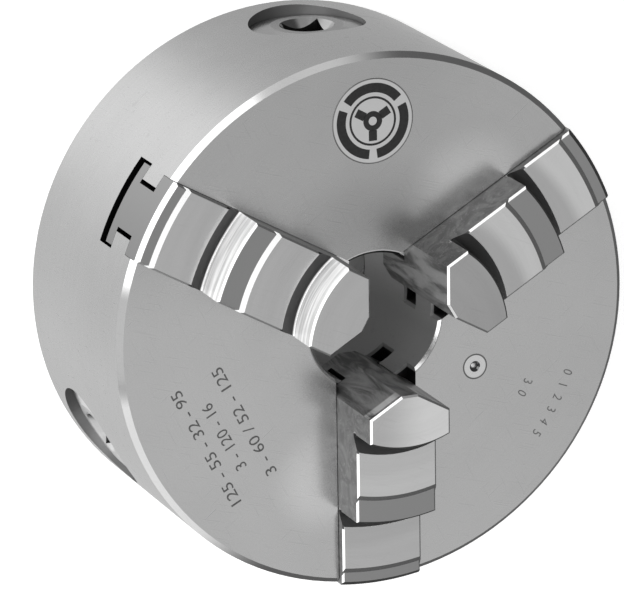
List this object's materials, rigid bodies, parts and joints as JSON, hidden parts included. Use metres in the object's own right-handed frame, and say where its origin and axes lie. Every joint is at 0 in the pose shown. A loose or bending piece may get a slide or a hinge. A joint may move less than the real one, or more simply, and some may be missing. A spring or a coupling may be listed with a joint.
{
  "type": "three-jaw scroll lathe chuck",
  "caption": "Self-centring lathe chuck: steel body, stepped jaws in T-slots, spiral scroll turned by bevel pinions with square key sockets, rear register and through bore.",
  "frame": {"origin": "centre of the rear face, on the chuck's axis", "axes": "+Z out of the front face, towards the jaws; +Y through the pinion opposite the lowest jaw; +X completes the right-handed frame"},
  "size_m": [0.125, 0.125, 0.0741],
  "materials": {
    "ground_steel": "fine ground steel, satin",
    "cover_steel": "turned steel, dull",
    "scroll_steel": "hardened steel, oiled",
    "jaw_steel": "hardened and ground steel",
    "pinion_steel": "turned steel",
    "screw_steel": "black oxide steel",
    "oiler_steel": "turned steel",
    "ball_steel": "polished bearing steel",
    "spring_steel": "spring wire",
    "plate_metal": "bright aluminium with dark printed marks"
  },
  "bodies": {
    "chuck_body": {"body": "ground_steel", "rear_cover": "cover_steel", "cover_screw_1": "screw_steel", "cover_screw_2": "screw_steel", "cover_screw_3": "screw_steel", "cover_screw_4": "screw_steel", "cover_screw_5": "screw_steel", "cover_screw_6": "screw_steel", "pinion_set_screw_1": "screw_steel", "pinion_set_screw_2": "screw_steel", "pinion_set_screw_3": "screw_steel", "oiler_body": "oiler_steel", "oiler_spring": "spring_steel", "face_plate": "plate_metal"},
    "scroll": {"scroll": "scroll_steel"},
    "jaw_1": {"jaw_1": "jaw_steel"},
    "pinion_1": {"pinion_1": "pinion_steel"},
    "jaw_2": {"jaw_2": "jaw_steel"},
    "pinion_2": {"pinion_2": "pinion_steel"},
    "jaw_3": {"jaw_3": "jaw_steel"},
    "pinion_3": {"pinion_3": "pinion_steel"},
    "oiler_ball": {"oiler_ball": "ball_steel"}
  },
  "joints": [
    {"name": "scroll_turn", "type": "hinge", "parent": "chuck_body", "child": "scroll", "pos_m": [0, 0, 0.032], "axis": [0, 0, 1], "range_deg": [-810, 475]},
    {"name": "jaw_1_slide", "type": "slide", "parent": "chuck_body", "child": "jaw_1", "axis": [0.866, 0.5, 0], "range_m": [-0.0106, 0.01805]},
    {"name": "jaw_2_slide", "type": "slide", "parent": "chuck_body", "child": "jaw_2", "axis": [-0.866, 0.5, 0], "range_m": [-0.0106, 0.01805]},
    {"name": "jaw_3_slide", "type": "slide", "parent": "chuck_body", "child": "jaw_3", "axis": [0, -1, 0], "range_m": [-0.0106, 0.01805]},
    {"name": "pinion_1_turn", "type": "hinge", "parent": "chuck_body", "child": "pinion_1", "pos_m": [0, 0.0549, 0.0184], "axis": [0, 1, 0], "range_deg": [-2140, 3650]},
    {"name": "pinion_2_turn", "type": "hinge", "parent": "chuck_body", "child": "pinion_2", "pos_m": [-0.04754, -0.02745, 0.0184], "axis": [-0.866, -0.5, 0], "range_deg": [-2140, 3650]},
    {"name": "pinion_3_turn", "type": "hinge", "parent": "chuck_body", "child": "pinion_3", "pos_m": [0.04754, -0.02745, 0.0184], "axis": [0.866, -0.5, 0], "range_deg": [-2140, 3650]},
    {"name": "oiler_ball_press", "type": "slide", "parent": "chuck_body", "child": "oiler_ball", "axis": [0, 0, -1], "range_m": [0, 0.0006], "stiffness_N_per_m": 200, "springref_m": -0.0005, "deforming": ["oiler_spring"]}
  ],
  "couplings": [
    {"joint": "jaw_1_slide", "follows": "scroll_turn", "m_per_rad": -0.0012732},
    {"joint": "jaw_2_slide", "follows": "scroll_turn", "m_per_rad": -0.0012732},
    {"joint": "jaw_3_slide", "follows": "scroll_turn", "m_per_rad": -0.0012732},
    {"joint": "pinion_1_turn", "follows": "scroll_turn", "ratio": -4.5},
    {"joint": "pinion_2_turn", "follows": "scroll_turn", "ratio": -4.5},
    {"joint": "pinion_3_turn", "follows": "scroll_turn", "ratio": -4.5}
  ]
}
